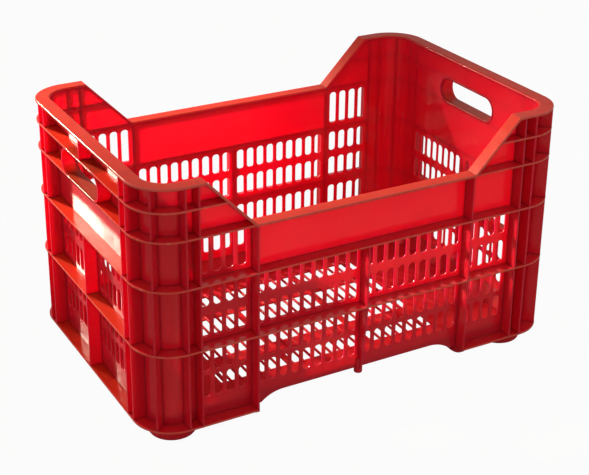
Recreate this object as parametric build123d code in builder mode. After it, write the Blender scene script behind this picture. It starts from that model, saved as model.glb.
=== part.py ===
from build123d import *
import math
import os

os.makedirs("parts", exist_ok=True)

# Overall size of the crate
length = 550.0
width = 360.0
height = 316.4
corner_radius = 47.6

# Thicknesses of the moulding and depth of the ribs outside the skin
skin = 2.2
rib = 2.4
rim = 3.0
rib_depth = 16.0

# Levels above the ground, and below the top
foot_height = 22.0
lower_rib_top = 120.1
middle_rib_top = 198.1
dip_drop = 60.4
upper_rib_drop = 26.6

# Layout along the long walls
post_rib_pitch = 15.4
wing_width = 68.2
slope_land = 8.2

# Arched lower edge of the long walls and the round peg under the middle rib
arch_rise = 10.4
arch_radius = 45.0
arch_shoulder = 10.0
taper_depth = 6.0
peg_radius = 5.1
peg_drop = 7.4
peg_lap = 12.0

# Ventilation slots
slot_width = 10.0
side_web = 5.0
end_web = 3.4
slot_margin = 3.0
slot_edge = 5.6
lower_slot_edge = 7.5
arch_slot_edge = 17.0
upper_row_gap = 10.2
lower_row_gap = 5.7

# Hand holes in the end walls
handle_length = 111.0

# Sunk floor: a sheet with rows of windows, thin slats across them and slopes up to the walls
floor_clearance = 16.4
pan_lap = 3.0
pan_side_run = 26.0
pan_end_run = 12.0
window_rows = 4
window_length = 35.0
window_band = 20.0
window_web = 9.0
middle_slats = 7
outer_slats = 6
slat_width = 2.6
slat_gap = 10.5
slat_height = 3.0
slat_lap = 4.0

# Cross beams under the floor
beam_clearance = 11.8
beam_run = 26.0

# Corner feet, which drop inside the rim of the crate below
stack_clearance = 0.6
foot_radius = 28.0
foot_chamfer = 3.0

# Sides of the polygons that stand for the round feet and pegs
round_sides = 12

# Faces and planes shared by the pieces
half_length = length / 2
half_width = width / 2
wall = skin + rib_depth
skin_x = half_length - rib_depth
skin_y = half_width - rib_depth
inner_x = half_length - wall
inner_y = half_width - wall
inner_radius = corner_radius - wall
post_leg = corner_radius + rib + post_rib_pitch
post_x = half_length - post_leg
post_y = half_width - post_leg
bay_x = post_x - wing_width
wing_x = bay_x + rib / 2
slope_top = post_x - slope_land
slope_angle = math.atan2(dip_drop, slope_top - wing_x)
mitre = rim * math.tan(slope_angle / 2)
dip_top = height - dip_drop
upper_rib_top = height - upper_rib_drop
rim_bottom = height - rim
base = foot_height
arch_top = base + arch_rise
pan_top = arch_top + pan_lap
slat_bottom = floor_clearance + skin
rib_tops = (base + rib, lower_rib_top, middle_rib_top, dip_top, upper_rib_top)
grip_height = upper_rib_top - rib - dip_top
grip_level = dip_top + grip_height / 2
foot_inset = wall + stack_clearance + foot_radius
foot_x = half_length - foot_inset
foot_y = half_width - foot_inset


def save(piece, name):
    """Labels a finished piece and writes it."""
    piece.part.label = name
    export_step(piece.part, f"parts/{name}.step")


def save_pair(first, names, about):
    """Writes a piece and its mirror image."""
    save(first, names[0])
    with BuildPart() as second:
        mirror(first.part, about=about)
    save(second, names[1])


def save_images(front_right, kind):
    """Writes the images of a front right piece in the other three corners."""
    with BuildPart() as front_left:
        mirror(front_right.part, about=Plane.YZ)
    save_pair(front_left, (f"front_left_{kind}", f"rear_left_{kind}"), Plane.XZ)
    with BuildPart() as rear_right:
        mirror(front_right.part, about=Plane.XZ)
    save(rear_right, f"rear_right_{kind}")


def save_four(front_right, kind):
    """Writes a front right piece and its three images."""
    save(front_right, f"front_right_{kind}")
    save_images(front_right, kind)


def bar(low, high, bottom, top, mode=Mode.ADD):
    """Puts a rectangle between two corners into the open sketch."""
    with Locations(((low + high) / 2, (bottom + top) / 2)):
        Rectangle(high - low, top - bottom, mode=mode)


def level_ribs(low, high, tops):
    """Adds the edges of horizontal ribs to the open sketch."""
    for top in tops:
        bar(low, high, top - rib, top)


def row_pair(bottom, top, gap):
    """Gives the middle and the height of two equal slot rows between two levels."""
    tall = (top - bottom - gap) / 2
    return [(bottom + tall / 2, tall), (top - tall / 2, tall)]


def cut_slots(low, high, web, rows):
    """Cuts rows of upright slots, centred between two ribs, from the open sketch."""
    pitch = slot_width + web
    count = int((high - low - 2 * slot_margin - slot_width) // pitch) + 1
    for level, tall in rows:
        with Locations(((low + high) / 2, level)):
            with GridLocations(pitch, tall, count, 1):
                Rectangle(slot_width, tall, mode=Mode.SUBTRACT)


def both_bays(first, last, web, rows):
    """Cuts the same slots in two bays, one on each side of the middle rib."""
    cut_slots(first, last, web, rows)
    cut_slots(-last, -first, web, rows)


upper_rows = row_pair(
    lower_rib_top + slot_edge, middle_rib_top - rib - slot_edge, upper_row_gap
)
lower_rows = row_pair(
    arch_top + arch_slot_edge, lower_rib_top - rib - lower_slot_edge, lower_row_gap
)
tall_bottom = middle_rib_top + slot_edge
tall_top = dip_top - rib - slot_edge
tall_row = [((tall_bottom + tall_top) / 2, tall_top - tall_bottom)]

# Middle of a long wall, with its arched lower edge
arch_run = math.sqrt(2 * arch_radius * arch_rise - arch_rise**2)
arch_end = bay_x - rib / 2 - arch_shoulder
arch_flat = arch_end - arch_run
side_top = dip_top - rim

with BuildPart() as front_side_panel:
    with BuildSketch(Plane.XZ.offset(inner_y)):
        with BuildLine():
            Line((-arch_flat, arch_top), (arch_flat, arch_top))
            TangentArc((arch_flat, arch_top), (arch_end, base), tangent=(1, 0))
            Polyline(
                (arch_end, base),
                (wing_x, base),
                (wing_x, side_top),
                (-wing_x, side_top),
                (-wing_x, base),
                (-arch_end, base),
            )
            TangentArc((-arch_flat, arch_top), (-arch_end, base), tangent=(-1, 0))
        make_face()
        both_bays(rib / 2, bay_x - rib / 2, side_web, upper_rows + lower_rows)
    extrude(amount=skin)
    with BuildSketch(Plane.XZ.offset(skin_y)):
        level_ribs(-wing_x, wing_x, (lower_rib_top, middle_rib_top))
        bar(-rib / 2, rib / 2, lower_rib_top, middle_rib_top)
        bar(wing_x - rib, wing_x, base, side_top)
        bar(-wing_x, rib - wing_x, base, side_top)
    extrude(amount=rib_depth)
    with BuildSketch(Plane.YZ):
        with BuildLine():
            Polyline(
                (-skin_y, lower_rib_top - rib),
                (-half_width, lower_rib_top - rib),
                (-skin_y - taper_depth, arch_top),
                (-skin_y, arch_top),
                close=True,
            )
        make_face()
    extrude(amount=rib / 2, both=True)
save_pair(front_side_panel, ("front_side_panel", "rear_side_panel"), Plane.XZ)

# Round peg under the middle rib, which laps the outside of the skin on both sides of the rib
peg_y = inner_y + skin / 2

with BuildPart() as front_peg:
    with BuildSketch(Plane.XY.offset(arch_top - peg_drop)):
        with Locations((0, -peg_y)):
            RegularPolygon(peg_radius, round_sides)
    extrude(amount=peg_drop)
    with BuildSketch(Plane.XY.offset(arch_top)):
        with Locations((0, -peg_y)):
            RegularPolygon(peg_radius, round_sides)
        bar(-peg_radius, peg_radius, -half_width, -skin_y, Mode.INTERSECT)
        bar(-rib / 2, rib / 2, -half_width, -skin_y, Mode.SUBTRACT)
    extrude(amount=peg_lap)
save_pair(front_peg, ("front_peg", "rear_peg"), Plane.XZ)

# Low rim along the dip of a long wall
with BuildPart() as front_side_rim:
    with BuildSketch(Plane.XZ.offset(inner_y)):
        bar(-wing_x, wing_x, side_top, dip_top)
    extrude(amount=wall)
save_pair(front_side_rim, ("front_side_rim", "rear_side_rim"), Plane.XZ)

# Bay between the dip and a corner post, under the sloping rim
wing_line = [
    (wing_x, side_top),
    (wing_x + mitre, side_top),
    (slope_top + mitre, rim_bottom),
    (post_x, rim_bottom),
]


def wing_panel(rows):
    """Builds the front right bay with the given slot rows."""
    with BuildPart() as panel:
        with BuildSketch(Plane.XZ.offset(inner_y)):
            with BuildLine():
                Polyline(*wing_line, (post_x, base), (wing_x, base), close=True)
            make_face()
            cut_slots(wing_x, post_x, side_web, rows)
        extrude(amount=skin)
        with BuildSketch(Plane.XZ.offset(skin_y)):
            level_ribs(wing_x, post_x, rib_tops)
            with BuildLine():
                Polyline(*wing_line, (post_x, base), (wing_x, base), close=True)
            make_face(mode=Mode.INTERSECT)
        extrude(amount=rib_depth)
    return panel


# The front right bay is plain above the middle rib; the other three have a tall slot row there
save(wing_panel(upper_rows + lower_rows), "front_right_wing_panel")
save_images(wing_panel(tall_row + upper_rows + lower_rows), "wing_panel")

# Sloping rim from the dip up to a corner post
with BuildPart() as front_right_wing_rim:
    with BuildSketch(Plane.XZ.offset(inner_y)):
        with BuildLine():
            Polyline(*wing_line, (post_x, height), (slope_top, height), (wing_x, dip_top), close=True)
        make_face()
    extrude(amount=wall)
save_four(front_right_wing_rim, "wing_rim")


def corner_band(level, outer, inner):
    """Gives the front right corner of the wall between two depths from the outside."""
    with BuildSketch(Plane.XY.offset(level)) as band:
        RectangleRounded(length - 2 * outer, width - 2 * outer, corner_radius - outer)
        RectangleRounded(
            length - 2 * inner, width - 2 * inner, corner_radius - inner, mode=Mode.SUBTRACT
        )
        with Locations((half_length, -half_width)):
            Rectangle(2 * post_leg, 2 * post_leg, mode=Mode.INTERSECT)
    return band.sketch


# Corner post: a rounded skin with wrapped ribs, upright ribs and its part of the rim
with BuildPart() as front_right_post:
    extrude(corner_band(base, rib_depth, wall), amount=rim_bottom - base)
    for rib_top in rib_tops:
        extrude(corner_band(rib_top - rib, 0, rib_depth), amount=rib)
    extrude(corner_band(rim_bottom, 0, wall), amount=rim)
    with BuildSketch(Plane.XY.offset(base)):
        for gap in (0, post_rib_pitch):
            rib_x = half_length - corner_radius - gap
            rib_y = half_width - corner_radius - gap
            bar(rib_x - rib, rib_x, -half_width, -skin_y)
            bar(skin_x, half_length, -rib_y, rib - rib_y)
        with Locations((half_length - corner_radius, corner_radius - half_width)):
            Rectangle(2 * corner_radius, rib, rotation=-45, align=(Align.MIN, Align.CENTER))
        RectangleRounded(length, width, corner_radius, mode=Mode.INTERSECT)
        RectangleRounded(
            2 * skin_x, 2 * skin_y, corner_radius - rib_depth, mode=Mode.SUBTRACT
        )
    extrude(amount=rim_bottom - base)
save_four(front_right_post, "post")

# Slotted lower half of an end wall
with BuildPart() as right_end_panel:
    with BuildSketch(Plane.YZ.offset(inner_x)):
        bar(-post_y, post_y, base, middle_rib_top)
        both_bays(rib / 2, post_y, end_web, upper_rows + lower_rows)
    extrude(amount=skin)
    with BuildSketch(Plane.YZ.offset(skin_x)):
        level_ribs(-post_y, post_y, (base + rib, lower_rib_top, middle_rib_top))
        bar(-rib / 2, rib / 2, base, middle_rib_top)
    extrude(amount=rib_depth)
save_pair(right_end_panel, ("right_end_panel", "left_end_panel"), Plane.YZ)

# Upper half of an end wall, with a collar round the hand hole between two ribs
with BuildPart() as right_handle_panel:
    with BuildSketch(Plane.YZ.offset(inner_x)):
        bar(-post_y, post_y, middle_rib_top, rim_bottom)
        with Locations((0, grip_level)):
            SlotOverall(handle_length, grip_height, mode=Mode.SUBTRACT)
    extrude(amount=skin)
    with BuildSketch(Plane.YZ.offset(skin_x)):
        with Locations((0, grip_level)):
            SlotOverall(handle_length + 2 * rib, grip_height + 2 * rib)
        level_ribs(-post_y, post_y, (dip_top, upper_rib_top))
        bar(-rib / 2, rib / 2, upper_rib_top, rim_bottom)
        with Locations((0, grip_level)):
            SlotOverall(handle_length, grip_height, mode=Mode.SUBTRACT)
    extrude(amount=rib_depth)
save_pair(right_handle_panel, ("right_handle_panel", "left_handle_panel"), Plane.YZ)

# Flat rim on top of an end wall
with BuildPart() as right_end_rim:
    with BuildSketch(Plane.YZ.offset(inner_x)):
        bar(-post_y, post_y, rim_bottom, height)
    extrude(amount=wall)
save_pair(right_end_rim, ("right_end_rim", "left_end_rim"), Plane.YZ)

# Flat floor sheet with windows in rows of three
pan_x = inner_x - pan_end_run
pan_y = inner_y - pan_side_run
slat_pitch = slat_width + slat_gap
middle_edge = ((middle_slats + 1) * slat_pitch - slat_width) / 2
outer_start = middle_edge + window_web
outer_edge = outer_start + (outer_slats + 1) * slat_pitch - slat_width
outer_middle = (outer_start + outer_edge) / 2
window_pitch = window_length + window_band
window_reach = ((window_rows - 1) * window_pitch + window_length) / 2

with BuildPart() as floor_ribs:
    with BuildSketch(Plane.XY.offset(floor_clearance)):
        Rectangle(2 * pan_x, 2 * pan_y)
        with GridLocations(length, window_pitch, 1, window_rows):
            Rectangle(2 * middle_edge, window_length, mode=Mode.SUBTRACT)
        with GridLocations(2 * outer_middle, window_pitch, 2, window_rows):
            Rectangle(outer_edge - outer_start, window_length, mode=Mode.SUBTRACT)
    extrude(amount=skin)
save(floor_ribs, "floor_ribs")


def floor_slope(across, near, far, plan):
    """Builds a slope from the edge of the floor sheet up to a wall, mitred with its neighbours."""
    with BuildPart() as slope:
        with BuildSketch(across):
            with BuildLine():
                Polyline(
                    (near, floor_clearance),
                    (far, pan_top),
                    (far, pan_top + skin),
                    (near, floor_clearance + skin),
                    close=True,
                )
            make_face()
        extrude(amount=half_length, both=True)
        with BuildSketch(Plane.XY):
            with BuildLine():
                Polyline(*plan, close=True)
            make_face()
            RectangleRounded(2 * inner_x, 2 * inner_y, inner_radius, mode=Mode.INTERSECT)
        extrude(amount=height, mode=Mode.INTERSECT)
    return slope


# Slopes between the floor sheet and the walls
front_slope = floor_slope(
    Plane.YZ,
    -pan_y,
    -inner_y,
    [(-pan_x, -pan_y), (pan_x, -pan_y), (inner_x, -inner_y), (-inner_x, -inner_y)],
)
save_pair(front_slope, ("front_floor_slope", "rear_floor_slope"), Plane.XZ)
right_slope = floor_slope(
    Plane.XZ,
    pan_x,
    inner_x,
    [(pan_x, -pan_y), (pan_x, pan_y), (inner_x, inner_y), (inner_x, -inner_y)],
)
save_pair(right_slope, ("right_floor_slope", "left_floor_slope"), Plane.YZ)

# Thin slats across the windows
with BuildPart() as floor_slats:
    with BuildSketch(Plane.XY.offset(slat_bottom)):
        with GridLocations(slat_pitch, width, middle_slats, 1):
            Rectangle(slat_width, 2 * (window_reach + slat_lap))
        for side in (-1, 1):
            with Locations((side * outer_middle, 0)):
                with GridLocations(slat_pitch, width, outer_slats, 1):
                    Rectangle(slat_width, 2 * (window_reach + slat_lap))
    extrude(amount=slat_height)
save(floor_slats, "floor_slats")

# Cross beam under the floor, in line with the ribs beside the dip
beam_flat = half_width - beam_run

with BuildPart() as right_cross_beam:
    with BuildSketch(Plane.YZ.offset(wing_x - rib)):
        with BuildLine():
            Polyline(
                (half_width, base),
                (inner_y, base),
                (inner_y, pan_top),
                (pan_y, floor_clearance),
                (-pan_y, floor_clearance),
                (-inner_y, pan_top),
                (-inner_y, base),
                (-half_width, base),
            )
            TangentArc((-beam_flat, beam_clearance), (-half_width, base), tangent=(-1, 0))
            Line((-beam_flat, beam_clearance), (beam_flat, beam_clearance))
            TangentArc((beam_flat, beam_clearance), (half_width, base), tangent=(1, 0))
        make_face()
    extrude(amount=rib)
save_pair(right_cross_beam, ("right_cross_beam", "left_cross_beam"), Plane.YZ)

# Corner foot under the floor sheet
with BuildPart() as front_right_foot:
    with BuildSketch(Plane.XY):
        with Locations((foot_x, -foot_y)):
            RegularPolygon(foot_radius, round_sides)
    extrude(amount=floor_clearance)
    chamfer(faces().sort_by(Axis.Z)[0].edges(), foot_chamfer)
save_four(front_right_foot, "foot")
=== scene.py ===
import math

import bmesh
import bpy
from mathutils import Matrix, Vector
from mathutils.geometry import tessellate_polygon


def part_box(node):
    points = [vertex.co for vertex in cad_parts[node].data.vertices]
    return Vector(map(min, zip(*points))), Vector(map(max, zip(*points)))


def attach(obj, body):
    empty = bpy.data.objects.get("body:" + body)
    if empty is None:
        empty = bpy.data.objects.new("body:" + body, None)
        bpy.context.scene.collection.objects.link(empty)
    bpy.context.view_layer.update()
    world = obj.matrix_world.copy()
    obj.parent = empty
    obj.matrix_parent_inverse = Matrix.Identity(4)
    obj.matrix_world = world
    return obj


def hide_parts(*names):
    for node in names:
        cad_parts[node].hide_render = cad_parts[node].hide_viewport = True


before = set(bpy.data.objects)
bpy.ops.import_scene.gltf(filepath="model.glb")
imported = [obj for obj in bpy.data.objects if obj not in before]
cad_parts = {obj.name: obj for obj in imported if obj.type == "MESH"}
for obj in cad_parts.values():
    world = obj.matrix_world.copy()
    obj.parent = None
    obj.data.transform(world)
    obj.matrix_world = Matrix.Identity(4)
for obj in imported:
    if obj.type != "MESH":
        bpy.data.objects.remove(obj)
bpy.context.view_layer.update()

# Sizes and places read from the frame, in metres
side_low, side_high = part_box("front_side_panel")
wing_low, wing_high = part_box("front_right_wing_panel")
end_low, end_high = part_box("right_end_panel")
rim_low, rim_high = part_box("right_end_rim")
dip_low, dip_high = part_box("front_side_rim")
slat_low, slat_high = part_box("floor_slats")
sheet_low, sheet_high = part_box("floor_ribs")
side_slope_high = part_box("front_floor_slope")[1]
end_slope_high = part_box("right_floor_slope")[1]
peg_low, peg_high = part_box("front_peg")
foot_low, foot_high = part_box("front_right_foot")

half_length = rim_high[0]
half_width = -side_low[1]
inner_x = end_low[0]
inner_y = -side_high[1]
wing_x = wing_low[0]
post_x = wing_high[0]
post_y = end_high[1]
base = wing_low[2]
middle_rib_top = end_high[2]
side_top = dip_low[2]
dip_top = dip_high[2]
rim_bottom = rim_low[2]
height = rim_high[2]
wall = half_length - inner_x
rim = height - rim_bottom
pan_x = sheet_high[0]
pan_y = sheet_high[1]
sheet_bottom = sheet_low[2]
sheet_top = sheet_high[2]
slope_rise = side_slope_high[2] - sheet_top
side_hip = side_slope_high[0]
end_hip = end_slope_high[1]

# Sizes that the frame doesn't give, as in the part's source
skin = 0.0022
rib = 0.0024
corner_radius = 0.0476
post_rib_pitch = 0.0154
lower_rib_top = 0.1201
upper_rib_drop = 0.0266
slope_land = 0.0082
arch_radius = 0.045
arch_rise = 0.0104
arch_shoulder = 0.010
taper_depth = 0.006
slot_width = 0.010
side_web = 0.005
end_web = 0.0034
slot_margin = 0.003
slot_edge = 0.0056
lower_slot_edge = 0.0075
arch_slot_edge = 0.017
upper_row_gap = 0.0102
lower_row_gap = 0.0057
handle_length = 0.111
window_rows = 4
window_length = 0.035
window_band = 0.020
window_web = 0.009
middle_slats = 7
outer_slats = 6
slat_width = 0.0026
slat_gap = 0.0105

# Places worked out from the sizes above
rib_depth = wall - skin
skin_y = inner_y + skin
inner_radius = corner_radius - wall
upper_rib_top = height - upper_rib_drop
slope_top = post_x - slope_land
arch_top = base + arch_rise
arch_end = wing_x - rib - arch_shoulder
side_pitch = slot_width + side_web
end_pitch = slot_width + end_web
grip_height = upper_rib_top - rib - dip_top
grip_level = dip_top + grip_height / 2
window_pitch = window_length + window_band
slat_pitch = slat_width + slat_gap
lower_rib_tops = (base + rib, lower_rib_top, middle_rib_top)
upper_rib_tops = (dip_top, upper_rib_top)

# Ribs are rooted in the middle of the skin
rib_root = rib_depth + skin / 2
front_root = -skin_y + skin / 2

# A row of slots that is too long by no more than this still fits
fit_slack = 1e-6

# Finish of the moulding: rounded edges, and small steps that keep crossing faces apart
rib_round = 0.0007
rim_round = 0.0010
rim_inner_round = 0.0024
slot_lip = 0.0006
slot_round = 0.0042
window_round = 0.002
foot_round = 0.004
step = 0.0002
rib_round_steps = 2
rim_round_steps = 4
slot_round_steps = 5
foot_round_steps = 4
arc_steps = 20
sharp_angle = math.radians(38)

# The middle of a rounded edge lies about this share of its radius from both faces
round_middle = 0.3

# The peg's ends are rounded by this share of its radius
peg_round_share = 0.25

# The lighter edge of a rib or a rim, part wear and part painted highlight, reaches a little past its
# rounding
wear_and_highlight_share = 1.2
rib_edge = rib_round * wear_and_highlight_share
rim_edge = rim_round * wear_and_highlight_share

UP = Vector((0, 0, 1))
RIGHT = Vector((1, 0, 0))
INTO_FRONT = Vector((0, 1, 0))
INTO_RIGHT_END = Vector((-1, 0, 0))

# Finishes by their place in each piece's list of materials
BODY, WEAR_AND_HIGHLIGHT_EDGE, RIM, PAINTED_SHADE_FLOOR = 0, 1, 2, 3

# Values that all the reds share
gloss_roughness = 0.14
glow_reach = (1.0, 0.10, 0.95)
glow_depth = 0.006
cloud_span = (0.3, 0.7)
scuff_span = (0.56, 0.74)
scuff_stretch = (1.0, 1.0, 0.22)
rough_span = (0.35, 0.7)
# Upward faces are mixed towards this warm colour over this span of the normal's height: a painted sheen in
# place of the key lamp's light on tops
sheen_span = (0.4, 0.65)
painted_top_sheen = (0.68, 0.034, 0.013)

# Colours of the body, which the rims share
red_deep = (0.84, 0.013, 0.036)
red_bright = (0.90, 0.018, 0.046)


def empty_tree(holder):
    """Gives the node tree of a new material or world, with nothing in it."""
    holder.use_nodes = True
    holder.node_tree.nodes.clear()
    return holder.node_tree


def node_of(tree, kind, **values):
    """Adds a shader node and sets its inputs by name, or its own properties."""
    node = tree.nodes.new(kind)
    for name, value in values.items():
        if name in node.inputs:
            node.inputs[name].default_value = value
        else:
            setattr(node, name, value)
    return node


def noise_of(tree, place, **values):
    """Adds a noise over a place and gives its value."""
    node = node_of(tree, "ShaderNodeTexNoise", **values)
    tree.links.new(place, node.inputs["Vector"])
    return node.outputs["Fac"]


def span_of(tree, value, span, low, high):
    """Turns a value over a span into one from low to high."""
    limits = {"From Min": span[0], "From Max": span[1], "To Min": low, "To Max": high}
    node = node_of(tree, "ShaderNodeMapRange", **limits)
    tree.links.new(value, node.inputs["Value"])
    return node.outputs["Result"]


def mix_of(tree, share, colour, other):
    """Mixes a share of another, constant colour into a colour."""
    node = node_of(tree, "ShaderNodeMix", data_type="RGBA")
    sockets = [socket for socket in node.inputs if socket.type == "RGBA"]
    sockets[1].default_value = (*other, 1)
    tree.links.new(share, node.inputs["Factor"])
    tree.links.new(colour, sockets[0])
    return [socket for socket in node.outputs if socket.type == "RGBA"][0]


def red_plastic(name, deep, bright, scuff, scuff_share, rough, top_sheen_share, glow_share, coat_share):
    """Makes moulded red plastic: clouded, scuffed, with a painted warm sheen on its upper faces, slightly
    wavy and grained.
    """
    material = bpy.data.materials.new(name)
    tree = empty_tree(material)
    link = tree.links.new
    output = node_of(tree, "ShaderNodeOutputMaterial")
    constants = {
        "IOR": 1.5,
        "Specular IOR Level": 0.1,
        "Subsurface Weight": glow_share,
        "Subsurface Radius": glow_reach,
        "Subsurface Scale": glow_depth,
        "Coat Weight": coat_share,
        "Coat Roughness": gloss_roughness,
    }
    shader = node_of(tree, "ShaderNodeBsdfPrincipled", **constants)
    link(shader.outputs["BSDF"], output.inputs["Surface"])
    place = node_of(tree, "ShaderNodeTexCoord").outputs["Object"]

    tint = node_of(tree, "ShaderNodeValToRGB")
    for element, position, colour in zip(tint.color_ramp.elements, cloud_span, (deep, bright)):
        element.position = position
        element.color = (*colour, 1)
    link(noise_of(tree, place, Scale=11.0, Detail=4.0, Roughness=0.55), tint.inputs["Fac"])

    stretch = node_of(tree, "ShaderNodeMapping", Scale=scuff_stretch)
    link(place, stretch.inputs["Vector"])
    rub = noise_of(tree, stretch.outputs["Vector"], Scale=140.0, Detail=6.0, Roughness=0.7)
    rub_share = span_of(tree, rub, scuff_span, 0.0, scuff_share)
    scuffed = mix_of(tree, rub_share, tint.outputs["Color"], scuff)

    # Upward faces are mixed towards the warm colour: painted sheen, full where the face points up
    facing = node_of(tree, "ShaderNodeSeparateXYZ")
    link(node_of(tree, "ShaderNodeNewGeometry").outputs["Normal"], facing.inputs["Vector"])
    painted_sheen_share = span_of(tree, facing.outputs["Z"], sheen_span, 0.0, top_sheen_share)
    link(mix_of(tree, painted_sheen_share, scuffed, painted_top_sheen), shader.inputs["Base Color"])
    link(span_of(tree, rub, rough_span, *rough), shader.inputs["Roughness"])

    waves = node_of(tree, "ShaderNodeBump", Strength=0.35, Distance=0.002)
    link(noise_of(tree, place, Scale=28.0, Detail=1.5), waves.inputs["Height"])
    grain = node_of(tree, "ShaderNodeBump", Strength=0.10, Distance=0.0004)
    link(noise_of(tree, place, Scale=1500.0, Detail=2.0), grain.inputs["Height"])
    link(waves.outputs["Normal"], grain.inputs["Normal"])
    link(grain.outputs["Normal"], shader.inputs["Normal"])
    link(waves.outputs["Normal"], shader.inputs["Coat Normal"])
    return material


# The body takes a quarter of the painted top sheen
body_red = red_plastic(
    "red_moulding",
    deep=red_deep,
    bright=red_bright,
    scuff=(0.86, 0.10, 0.08),
    scuff_share=0.10,
    rough=(0.28, 0.40),
    top_sheen_share=0.25,
    glow_share=1.0,
    coat_share=0.85,
)
# Lighter, less red edges: part wear and part a painted highlight along the rounded edges
wear_and_highlight_edge_red = red_plastic(
    "red_moulding_wear_and_highlight_edge",
    deep=(0.94, 0.08, 0.06),
    bright=(0.98, 0.13, 0.10),
    scuff=(1.0, 0.40, 0.32),
    scuff_share=0.5,
    rough=(0.22, 0.36),
    top_sheen_share=0.0,
    glow_share=0.0,
    coat_share=0.85,
)
# The rims take the full painted top sheen on their upward faces
rim_red = red_plastic(
    "red_moulding_rim",
    deep=red_deep,
    bright=red_bright,
    scuff=(0.92, 0.16, 0.08),
    scuff_share=0.25,
    rough=(0.28, 0.40),
    top_sheen_share=1.0,
    glow_share=1.0,
    coat_share=0.25,
)
# The floor's red is darker than the body's: painted shade inside the crate, with a duller gloss
painted_shade_floor_red = red_plastic(
    "red_moulding_floor_painted_shade",
    deep=(0.56, 0.012, 0.020),
    bright=(0.64, 0.016, 0.026),
    scuff=(0.60, 0.09, 0.07),
    scuff_share=0.25,
    rough=(0.45, 0.60),
    top_sheen_share=0.0,
    glow_share=1.0,
    coat_share=0.08,
)


def rectangle(left, bottom, right, top):
    """Gives the corners of a rectangle."""
    return [(left, bottom), (right, bottom), (right, top), (left, top)]


def rounded(corners, radii, steps=3):
    """Gives the outline of a right-angled polygon with each corner rounded by its radius."""
    outline = []
    for i, corner in enumerate(corners):
        radius = radii[i]
        point = Vector(corner)
        if not radius:
            outline.append(point)
            continue
        to_last = (Vector(corners[i - 1]) - point).normalized()
        to_next = (Vector(corners[(i + 1) % len(corners)]) - point).normalized()
        centre = point + radius * (to_last + to_next)
        for k in range(steps + 1):
            turn = math.pi / 2 * k / steps
            outline.append(centre - radius * (to_next * math.cos(turn) + to_last * math.sin(turn)))
    return outline


def evenly(middle, pitch, count):
    """Gives evenly spaced places about a middle."""
    return [middle + pitch * (k - (count - 1) / 2) for k in range(count)]


def bridge(bm, near, far):
    """Joins two rings of corners by a band of faces."""
    count = len(near)
    faces = []
    for i in range(count):
        j = (i + 1) % count
        faces.append(bm.faces.new((near[i], near[j], far[j], far[i])))
    return faces


def sweep(bm, path, section, across, edge_reach=None, closed=False, finish=BODY, edge_along=0):
    """Carries a section along a path of (point, normal).

    The section's first size runs along the normal and its second along across. Where edge_reach is given,
    the faces that stay below it in one of the two sizes, number edge_along, get the lighter edge finish,
    which is part wear and part painted highlight.
    """
    rings = [
        [bm.verts.new(point + normal * first + across * second) for first, second in section]
        for point, normal in path
    ]
    pairs = list(zip(rings, rings[1:]))
    if closed:
        pairs.append((rings[-1], rings[0]))
    sizes = [corner[edge_along] for corner in section]
    reaches = [max(size, next_size) for size, next_size in zip(sizes, [*sizes[1:], sizes[0]])]
    for near, far in pairs:
        for face, reach in zip(bridge(bm, near, far), reaches):
            wear_and_highlight = edge_reach is not None and reach < edge_reach
            face.material_index = WEAR_AND_HIGHLIGHT_EDGE if wear_and_highlight else finish
    if not closed:
        bm.faces.new(list(reversed(rings[0])))
        bm.faces.new(rings[-1])


def slot_outline(slot, grow):
    """Gives the outline of a round-cornered slot, grown by a margin."""
    u, v, wide, tall, radius = slot
    half_wide, half_tall = wide / 2 + grow, tall / 2 + grow
    corners = rectangle(u - half_wide, v - half_tall, u + half_wide, v + half_tall)
    return rounded(corners, [radius + grow] * 4, slot_round_steps)


def plate(bm, outline, slots, thickness, place):
    """Adds a sheet whose slots have rounded edges. place turns (u, v, depth) into a point of the frame."""
    lip_middle = slot_lip * round_middle
    layers = [
        (0, slot_lip),
        (lip_middle, lip_middle),
        (slot_lip, 0),
        (thickness - slot_lip, 0),
        (thickness - lip_middle, lip_middle),
        (thickness, slot_lip),
    ]
    rings = []
    for depth, grow in layers:
        rings.append([[bm.verts.new(place(*p, depth)) for p in slot_outline(slot, grow)] for slot in slots])
    border = [[bm.verts.new(place(*p, depth)) for p in outline] for depth in (0, thickness)]
    for near_rings, far_rings in zip(rings, rings[1:]):
        for near, far in zip(near_rings, far_rings):
            bridge(bm, near, far)
    bridge(bm, *border)
    loops = [[Vector((*p, 0)) for p in outline]]
    loops += [[Vector((*p, 0)) for p in slot_outline(slot, slot_lip)] for slot in slots]
    for edge, holes in ((border[0], rings[0]), (border[1], rings[-1])):
        verts = [*edge, *(vert for hole in holes for vert in hole)]
        for triangle in tessellate_polygon(loops):
            bm.faces.new([verts[k] for k in triangle])


def slot_columns(low, high, pitch):
    """Gives the middles of the slots that fit between two ribs."""
    room = high - low - 2 * slot_margin - slot_width
    count = int((room + fit_slack) // pitch) + 1
    return evenly((low + high) / 2, pitch, count)


def slots_in(low, high, pitch, rows):
    """Gives the slots of one bay."""
    columns = slot_columns(low, high, pitch)
    return [(u, v, slot_width, tall, slot_round) for v, tall in rows for u in columns]


def row_pair(bottom, top, gap):
    """Gives two equal slot rows between two levels."""
    tall = (top - bottom - gap) / 2
    return [(bottom + tall / 2, tall), (top - tall / 2, tall)]


upper_rows = row_pair(lower_rib_top + slot_edge, middle_rib_top - rib - slot_edge, upper_row_gap)
lower_rows = row_pair(arch_top + arch_slot_edge, lower_rib_top - rib - lower_slot_edge, lower_row_gap)
wall_rows = upper_rows + lower_rows
tall_bottom = middle_rib_top + slot_edge
tall_top = dip_top - rib - slot_edge
tall_row = [((tall_bottom + tall_top) / 2, tall_top - tall_bottom)]


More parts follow.
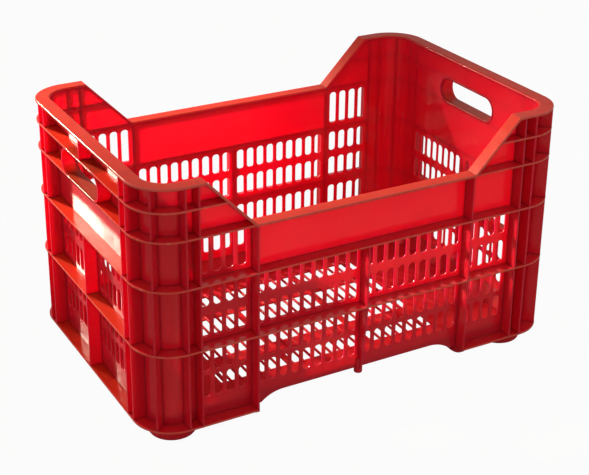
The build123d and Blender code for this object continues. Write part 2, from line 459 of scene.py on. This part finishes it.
def slots_beside_middle(far, pitch):
    """Gives the slots of the two bays on either side of a wall's middle rib."""
    near = rib / 2
    return slots_in(near, far, pitch, wall_rows) + slots_in(-far, -near, pitch, wall_rows)


def rib_outline(corners):
    """Rounds the two outer corners of a rib's section."""
    return rounded(corners, (rib_round, 0, 0, rib_round), rib_round_steps)


def upright(bm, point, inward, bottom, top):
    """Adds an upright rib that stands in from the outside at a point of the plan."""
    section = rib_outline(rectangle(step, -rib / 2, rib_root, rib / 2))
    path = [(Vector((*point, level)), inward) for level in (bottom, top)]
    sweep(bm, path, section, inward.cross(UP))


def level_rib(bm, path, top, finish=BODY):
    """Adds a level rib along a path."""
    section = rib_outline(rectangle(0, top - rib, rib_root, top))
    sweep(bm, path, section, UP, rib_edge, finish=finish)


def front_path(low, high):
    """Gives a straight path along the outside of the front wall."""
    return [(Vector((x, -half_width, 0)), INTO_FRONT) for x in (low, high)]


def end_path(low, high):
    """Gives a straight path along the outside of the right end wall."""
    return [(Vector((half_length, y, 0)), INTO_RIGHT_END) for y in (low, high)]


corner_centre = Vector((half_length - corner_radius, corner_radius - half_width, 0))


def corner_path():
    """Gives the path round the outside of the front right corner, from the wing to the end wall."""
    path = [(Vector((post_x, -half_width, 0)), INTO_FRONT)]
    for k in range(arc_steps + 1):
        turn = math.pi / 2 * (k / arc_steps - 1)
        outward = Vector((math.cos(turn), math.sin(turn), 0))
        path.append((corner_centre + outward * corner_radius, -outward))
    path.append((Vector((half_length, -post_y, 0)), INTO_RIGHT_END))
    return path


def on_front(u, v, depth):
    """Turns a point of the front wall's sheet into a point of the frame."""
    return Vector((u, -inner_y - depth, v))


def on_end(u, v, depth):
    """Turns a point of the right end wall's sheet into a point of the frame."""
    return Vector((inner_x + depth, u, v))


def finish_piece(bm, node, flip_x=1, flip_y=1, finish=None):
    """Mirrors a piece to its side, in place of its CAD node. A finish, if given, covers all of it."""
    if finish is not None:
        for face in bm.faces:
            face.material_index = finish
    for vert in bm.verts:
        vert.co.x *= flip_x
        vert.co.y *= flip_y
    bmesh.ops.recalc_face_normals(bm, faces=bm.faces)
    mesh = bpy.data.meshes.new(node + "_moulded")
    bm.to_mesh(mesh)
    bm.free()
    for material in (body_red, wear_and_highlight_edge_red, rim_red, painted_shade_floor_red):
        mesh.materials.append(material)
    mesh.shade_smooth()
    mesh.set_sharp_from_angle(angle=sharp_angle)
    piece = bpy.data.objects.new(node + "_moulded", mesh)
    bpy.context.scene.collection.objects.link(piece)
    flat_faces = piece.modifiers.new("flat_faces", "WEIGHTED_NORMAL")
    flat_faces.keep_sharp = True
    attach(piece, "root")
    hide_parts(node)


# Pieces are built at the front right, and these factors on X and Y mirror them to their own sides
corner_flips = {"front_right": (1, 1), "front_left": (-1, 1), "rear_right": (1, -1), "rear_left": (-1, -1)}
end_flips = {"right": (1, 1), "left": (-1, 1)}
wall_flips = {"front": (1, 1), "rear": (1, -1)}


# Middle of each long wall
def arch_points():
    """Gives the arc that brings the raised lower edge down to the base at the right."""
    run = math.sqrt(2 * arch_radius * arch_rise - arch_rise**2)
    whole_turn = math.asin(run / arch_radius)
    count = arc_steps // 2
    points = []
    for k in range(count + 1):
        turn = whole_turn * k / count
        along = arch_end - run + arch_radius * math.sin(turn)
        points.append((along, arch_top - arch_radius * (1 - math.cos(turn))))
    return points


def side_panel():
    """Builds the middle of the front wall."""
    bm = bmesh.new()
    right_edge = [*arch_points(), (wing_x, base), (wing_x, side_top)]
    outline = right_edge + [(-u, v) for u, v in reversed(right_edge)]
    plate(bm, outline, slots_beside_middle(wing_x - rib, side_pitch), skin, on_front)
    for top in (lower_rib_top, middle_rib_top):
        level_rib(bm, front_path(-wing_x, wing_x), top)
    for side in (-1, 1):
        upright(bm, (side * (wing_x - rib / 2), -half_width), INTO_FRONT, base, side_top)
    lower_rib_middle = lower_rib_top - rib / 2
    upright(bm, (0, -half_width), INTO_FRONT, lower_rib_middle, middle_rib_top - rib / 2)
    taper = [
        (front_root, lower_rib_middle),
        (-half_width + step, lower_rib_middle),
        (-skin_y - taper_depth, arch_top),
        (front_root, arch_top),
    ]
    plate(bm, taper, [], rib, lambda u, v, depth: Vector((depth - rib / 2, u, v)))
    return bm


def peg():
    """Builds the peg under the middle rib: round below the wall's edge, in front of the skin above it."""
    bm = bmesh.new()
    radius = (peg_high[0] - peg_low[0]) / 2
    centre = (peg_low[1] + peg_high[1]) / 2
    soft = radius * peg_round_share
    levels = [
        (peg_low[2], radius - soft),
        (peg_low[2] + soft * round_middle, radius - soft * round_middle),
        (peg_low[2] + soft, radius),
        (arch_top, radius),
        (peg_high[2] - soft, radius),
        (peg_high[2], radius - soft),
    ]
    rings = []
    for level, reach in levels:
        inner = front_root if level > arch_top else centre + radius
        ring = []
        for k in range(arc_steps):
            turn = 2 * math.pi * k / arc_steps
            y = min(centre + reach * math.sin(turn), inner)
            ring.append(bm.verts.new((reach * math.cos(turn), y, level)))
        rings.append(ring)
    for low, high in zip(rings, rings[1:]):
        bridge(bm, low, high)
    bm.faces.new(list(reversed(rings[0])))
    bm.faces.new(rings[-1])
    return bm


for wall_name, flips in wall_flips.items():
    finish_piece(side_panel(), f"{wall_name}_side_panel", *flips)
    finish_piece(peg(), f"{wall_name}_peg", *flips)

# Rim along the long walls: level at the corners, sloping down to the dip
slope = math.atan2(height - dip_top, slope_top - wing_x)
mitre = Vector((math.tan(slope / 2), 0, -1))
strip_rounds = (rim_round, slot_lip, slot_lip / 2, rim_inner_round)
strip_section = rounded(rectangle(0, 0, rim, wall), strip_rounds, rim_round_steps)
slope_foot = (Vector((wing_x, -half_width, dip_top)), mitre)
slope_foot_left = (Vector((-wing_x, -half_width, dip_top)), Vector((-mitre.x, 0, -1)))
slope_head = (Vector((slope_top, -half_width, height)), mitre)
strip_end = (Vector((post_x, -half_width, height)), -UP)


def rim_strip(path):
    """Builds a stretch of the front wall's rim."""
    bm = bmesh.new()
    sweep(bm, path, strip_section, INTO_FRONT, rim_edge, finish=RIM, edge_along=1)
    return bm


for wall_name, flips in wall_flips.items():
    finish_piece(rim_strip([slope_foot_left, slope_foot]), f"{wall_name}_side_rim", *flips)
for corner, flips in corner_flips.items():
    finish_piece(rim_strip([slope_foot, slope_head, strip_end]), f"{corner}_wing_rim", *flips)


# Bay between the dip and a corner post
def wing_panel(rows):
    """Builds the front right bay with the given slot rows."""
    bm = bmesh.new()
    outline = [
        (wing_x, base),
        (post_x, base),
        (post_x, rim_bottom),
        (slope_top + mitre.x * rim, rim_bottom),
        (wing_x + mitre.x * rim, side_top),
        (wing_x, side_top),
    ]
    plate(bm, outline, slots_in(wing_x, post_x, side_pitch, rows), skin, on_front)
    for top in lower_rib_tops:
        level_rib(bm, front_path(wing_x, post_x), top)
    for top in upper_rib_tops:
        start = wing_x + max(0, (top - dip_top + rim) / math.tan(slope))
        level_rib(bm, front_path(start, post_x), top)
    return bm


# The front right bay is plain above the middle rib, and the other three have a tall slot row there
for corner, flips in corner_flips.items():
    rows = wall_rows if corner == "front_right" else tall_row + wall_rows
    finish_piece(wing_panel(rows), f"{corner}_wing_panel", *flips)

# Level rim of the posts and the end walls: depth from the outside, then level
level_rounds = (slot_lip, slot_lip / 2, rim_inner_round, rim_round)
level_rim_section = rounded(rectangle(0, rim_bottom, wall, height), level_rounds, rim_round_steps)


# Corner posts
def post():
    """Builds the ribbed front right corner post with its part of the rim."""
    bm = bmesh.new()
    path = corner_path()
    sweep(bm, path, rectangle(rib_depth, base, wall, rim_bottom), UP)
    for top in lower_rib_tops + upper_rib_tops:
        level_rib(bm, path, top)
    sweep(bm, path, level_rim_section, UP, rim_edge, finish=RIM)
    for gap in (0, post_rib_pitch):
        along = corner_radius + gap + rib / 2
        upright(bm, (half_length - along, -half_width), INTO_FRONT, base, rim_bottom)
        upright(bm, (half_length, along - half_width), INTO_RIGHT_END, base, rim_bottom)
    diagonal = Vector((1, -1, 0)).normalized()
    outer = corner_centre + diagonal * corner_radius
    upright(bm, outer[:2], -diagonal, base, rim_bottom)
    return bm


for corner, flips in corner_flips.items():
    finish_piece(post(), f"{corner}_post", *flips)


# End walls
def end_panel():
    """Builds the slotted lower half of the right end wall."""
    bm = bmesh.new()
    slots = slots_beside_middle(post_y, end_pitch)
    plate(bm, rectangle(-post_y, base, post_y, middle_rib_top), slots, skin, on_end)
    # The end wall's ribs take the rim finish, with its full painted sheen on their tops
    for top in lower_rib_tops:
        level_rib(bm, end_path(-post_y, post_y), top, RIM)
    upright(bm, (half_length, 0), INTO_RIGHT_END, base, middle_rib_top - rib / 2)
    return bm


def handle_panel():
    """Builds the upper half of the right end wall with the collared hand hole."""
    bm = bmesh.new()
    hole = (0, grip_level, handle_length, grip_height, grip_height / 2 - step)
    plate(bm, rectangle(-post_y, middle_rib_top, post_y, rim_bottom), [hole], skin, on_end)
    # The ribs take the rim finish, with its full painted sheen on their tops
    for top in upper_rib_tops:
        level_rib(bm, end_path(-post_y, post_y), top, RIM)
    upright(bm, (half_length, 0), INTO_RIGHT_END, upper_rib_top - rib / 2, rim_bottom)
    reach = handle_length / 2 - grip_height / 2
    path = []
    for side, start in ((1, -math.pi / 2), (-1, math.pi / 2)):
        middle = Vector((inner_x, side * reach, grip_level))
        for k in range(arc_steps + 1):
            turn = start + math.pi * k / arc_steps
            outward = Vector((0, math.cos(turn), math.sin(turn)))
            path.append((middle + outward * (grip_height / 2 - 2 * step), outward))
    collar = rectangle(0, -2 * step, rib, wall + 2 * step)
    collar_section = rounded(collar, (rib_round, step, rib_round, rib_round))
    # The collar takes the rim finish, with its painted sheen on upward faces
    sweep(bm, path, collar_section, RIGHT, closed=True, finish=RIM)
    return bm


def end_rim():
    """Builds the flat rim on top of the right end wall."""
    bm = bmesh.new()
    sweep(bm, end_path(-post_y, post_y), level_rim_section, UP, rim_edge, finish=RIM)
    return bm


for end_name, flips in end_flips.items():
    finish_piece(end_panel(), f"{end_name}_end_panel", *flips)
    finish_piece(handle_panel(), f"{end_name}_handle_panel", *flips)
    finish_piece(end_rim(), f"{end_name}_end_rim", *flips)

# Floor: a sheet with windows, slats across the windows and slopes up to the walls
middle_edge = ((middle_slats + 1) * slat_pitch - slat_width) / 2
outer_wide = (outer_slats + 1) * slat_pitch - slat_width
outer_middle = middle_edge + window_web + outer_wide / 2


def floor_sheet():
    """Builds the flat sheet of the floor with its rows of windows."""
    bm = bmesh.new()
    spans = ((0, 2 * middle_edge), (outer_middle, outer_wide), (-outer_middle, outer_wide))
    levels = evenly(0, window_pitch, window_rows)
    windows = [(x, y, wide, window_length, window_round) for x, wide in spans for y in levels]
    outline = rectangle(-pan_x, -pan_y, pan_x, pan_y)
    plate(bm, outline, windows, skin, lambda u, v, depth: Vector((u, v, sheet_bottom + depth)))
    return bm


def floor_slats():
    """Builds the slats across the windows, from just over the sheet's underside to just over its top."""
    bm = bmesh.new()
    places = evenly(0, slat_pitch, middle_slats)
    for side in (-1, 1):
        places += evenly(side * outer_middle, slat_pitch, outer_slats)
    half = slat_width / 2
    corners = rectangle(-half, sheet_bottom + step, half, slat_low[2] + skin / 2)
    section = rounded(corners, [rib_round] * 4)
    for x in places:
        path = [(Vector((x, y, 0)), RIGHT) for y in (slat_low[1], slat_high[1])]
        sweep(bm, path, section, UP)
    return bm


def wall_reach(along, inner_along, inner_across):
    """Gives how far the inside of the walls lies from the middle at a place along the crate."""
    past = abs(along) - (inner_along - inner_radius)
    if past <= 0:
        return inner_across
    return inner_across - inner_radius + math.sqrt(inner_radius**2 - past**2)


def slope_plan(pan_along, pan_across, inner_along, inner_across, hip):
    """Gives the plan of a floor slope, from the sheet's edge to the walls between its two mitred hips."""
    arc_start = inner_along - inner_radius
    places = [hip + (arc_start - hip) * k / arc_steps for k in range(arc_steps + 1)]
    half_plan = [(pan_along, pan_across)]
    half_plan += [(along, wall_reach(along, inner_along, inner_across)) for along in places]
    return half_plan + [(-along, across) for along, across in reversed(half_plan)]


def slope_level(across, pan_across, inner_across):
    """Gives the level of a floor slope's underside at a distance from the middle of the crate."""
    return sheet_bottom + slope_rise * max(0, across - pan_across) / (inner_across - pan_across)


def side_slope():
    """Builds the slope along the front wall."""
    bm = bmesh.new()
    plan = slope_plan(pan_x, pan_y, inner_x, inner_y, side_hip)
    plate(bm, plan, [], skin, lambda u, v, depth: Vector((u, -v, slope_level(v, pan_y, inner_y) + depth)))
    return bm


def end_slope():
    """Builds the slope along the right end wall."""
    bm = bmesh.new()
    plan = slope_plan(pan_y, pan_x, inner_y, inner_x, end_hip)
    plate(bm, plan, [], skin, lambda u, v, depth: Vector((v, u, slope_level(v, pan_x, inner_x) + depth)))
    return bm


# The floor pieces take the darker floor red, a painted shade
finish_piece(floor_sheet(), "floor_ribs", finish=PAINTED_SHADE_FLOOR)
finish_piece(floor_slats(), "floor_slats", finish=PAINTED_SHADE_FLOOR)
for wall_name, flips in wall_flips.items():
    finish_piece(side_slope(), f"{wall_name}_floor_slope", *flips, PAINTED_SHADE_FLOOR)
for end_name, flips in end_flips.items():
    finish_piece(end_slope(), f"{end_name}_floor_slope", *flips, PAINTED_SHADE_FLOOR)


# Feet
def foot():
    """Builds the round front right foot, with a soft lower edge, up to the floor above it."""
    bm = bmesh.new()
    radius = (foot_high[0] - foot_low[0]) / 2
    centre = Vector(((foot_low[0] + foot_high[0]) / 2, (foot_low[1] + foot_high[1]) / 2, 0))
    profile = [(radius - foot_round, 0.0)]
    for k in range(1, foot_round_steps + 1):
        turn = math.pi / 2 * k / foot_round_steps
        reach = radius - foot_round + foot_round * math.sin(turn)
        profile.append((reach, foot_round - foot_round * math.cos(turn)))
    count = 2 * arc_steps
    turns = [2 * math.pi * k / count for k in range(count)]
    rings = []
    for reach, level in profile:
        ring = [centre + Vector((reach * math.cos(turn), reach * math.sin(turn), level)) for turn in turns]
        rings.append([bm.verts.new(point) for point in ring])
    top = []
    for turn in turns:
        point = centre + Vector((radius * math.cos(turn), radius * math.sin(turn), 0))
        level = max(slope_level(-point.y, pan_y, inner_y), slope_level(point.x, pan_x, inner_x))
        top.append(bm.verts.new((point.x, point.y, level + skin / 2)))
    rings.append(top)
    for low, high in zip(rings, rings[1:]):
        bridge(bm, low, high)
    bm.faces.new(list(reversed(rings[0])))
    middle = bm.verts.new(centre + UP * (sheet_bottom + skin / 2))
    for k in range(count):
        bm.faces.new((top[k], top[(k + 1) % count], middle))
    return bm


for corner, flips in corner_flips.items():
    finish_piece(foot(), f"{corner}_foot", *flips)

# The cross beams keep their CAD shape
for name in ("left_cross_beam", "right_cross_beam"):
    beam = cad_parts[name]
    beam.data.materials.clear()
    beam.data.materials.append(body_red)

# Studio floor: pale paper that looks nearly white to the camera and takes a faint shadow
floor_half = 8.0
paper_colour = (0.68, 0.64, 0.58)
paper_white_share = 0.96


def white_paper():
    """Makes pale paper, with most of its white seen by the camera alone."""
    material = bpy.data.materials.new("white_paper")
    tree = empty_tree(material)
    link = tree.links.new
    output = node_of(tree, "ShaderNodeOutputMaterial")
    matte = node_of(tree, "ShaderNodeBsdfDiffuse", Color=(*paper_colour, 1))
    glow = node_of(tree, "ShaderNodeEmission", Color=(1, 1, 1, 1), Strength=1.0)
    blend = node_of(tree, "ShaderNodeMixShader")
    share = node_of(tree, "ShaderNodeMath", operation="MULTIPLY")
    share.inputs[1].default_value = paper_white_share
    link(node_of(tree, "ShaderNodeLightPath").outputs["Is Camera Ray"], share.inputs[0])
    link(share.outputs["Value"], blend.inputs["Fac"])
    link(matte.outputs["BSDF"], blend.inputs[1])
    link(glow.outputs["Emission"], blend.inputs[2])
    link(blend.outputs["Shader"], output.inputs["Surface"])
    return material


floor_mesh = bpy.data.meshes.new("studio_floor")
floor_corners = [(*corner, 0) for corner in rectangle(-floor_half, -floor_half, floor_half, floor_half)]
floor_mesh.from_pydata(floor_corners, [], [(0, 1, 2, 3)])
floor_mesh.materials.append(white_paper())
studio_floor = bpy.data.objects.new("studio_floor", floor_mesh)
bpy.context.scene.collection.objects.link(studio_floor)

# Soft warm light from all round, white to the camera
world_colour = (1, 0.95, 0.87)
world_strength = 0.39


def studio_world():
    """Makes a dim warm surround that the camera sees as white."""
    world = bpy.data.worlds.new("studio")
    tree = empty_tree(world)
    link = tree.links.new
    output = node_of(tree, "ShaderNodeOutputWorld")
    soft = node_of(tree, "ShaderNodeBackground", Color=(*world_colour, 1), Strength=world_strength)
    white = node_of(tree, "ShaderNodeBackground", Color=(1, 1, 1, 1), Strength=1.0)
    blend = node_of(tree, "ShaderNodeMixShader")
    link(node_of(tree, "ShaderNodeLightPath").outputs["Is Camera Ray"], blend.inputs["Fac"])
    link(soft.outputs["Background"], blend.inputs[1])
    link(white.outputs["Background"], blend.inputs[2])
    link(blend.outputs["Shader"], output.inputs["Surface"])
    return world


bpy.context.scene.world = studio_world()

# Key lamp behind the rear left corner, whose soft beam edge leaves the rear right corner in shade
key_place = Vector((-0.822, 1.643, 0.996))
key_target = Vector((-0.140, 0.177, 0.315))
key_data = bpy.data.lights.new("key_light", "SPOT")
key_data.energy = 360
key_data.color = (1.0, 0.87, 0.68)
key_data.shadow_soft_size = 0.04
key_data.spot_size = math.radians(19.6)
key_data.spot_blend = 0.8
key_light = bpy.data.objects.new("key_light", key_data)
key_light.location = key_place
key_light.rotation_euler = (key_target - key_place).to_track_quat("-Z", "Y").to_euler()
key_light.visible_camera = False
bpy.context.scene.collection.objects.link(key_light)

# Camera at the photograph's view, with its image width and shifts in pixels
image_width = 589
shift_right = 12
shift_up = -60
camera_place = (-0.7498, -1.3305, 0.8691)
camera_heading = math.radians(61.064)
camera_pitch = math.radians(23.234)
camera_roll = math.radians(0.455)
camera_data = bpy.data.cameras.new("camera")
camera_data.sensor_width = 36.0
camera_data.lens = 82.607
camera_data.shift_x = shift_right / image_width
camera_data.shift_y = shift_up / image_width
camera = bpy.data.objects.new("camera", camera_data)
camera.matrix_world = (
    Matrix.Translation(camera_place)
    @ Matrix.Rotation(camera_heading - math.pi / 2, 4, "Z")
    @ Matrix.Rotation(math.pi / 2 - camera_pitch, 4, "X")
    @ Matrix.Rotation(camera_roll, 4, "Z")
)
bpy.context.scene.collection.objects.link(camera)
bpy.context.scene.camera = camera
bpy.context.scene.view_settings.view_transform = "Standard"
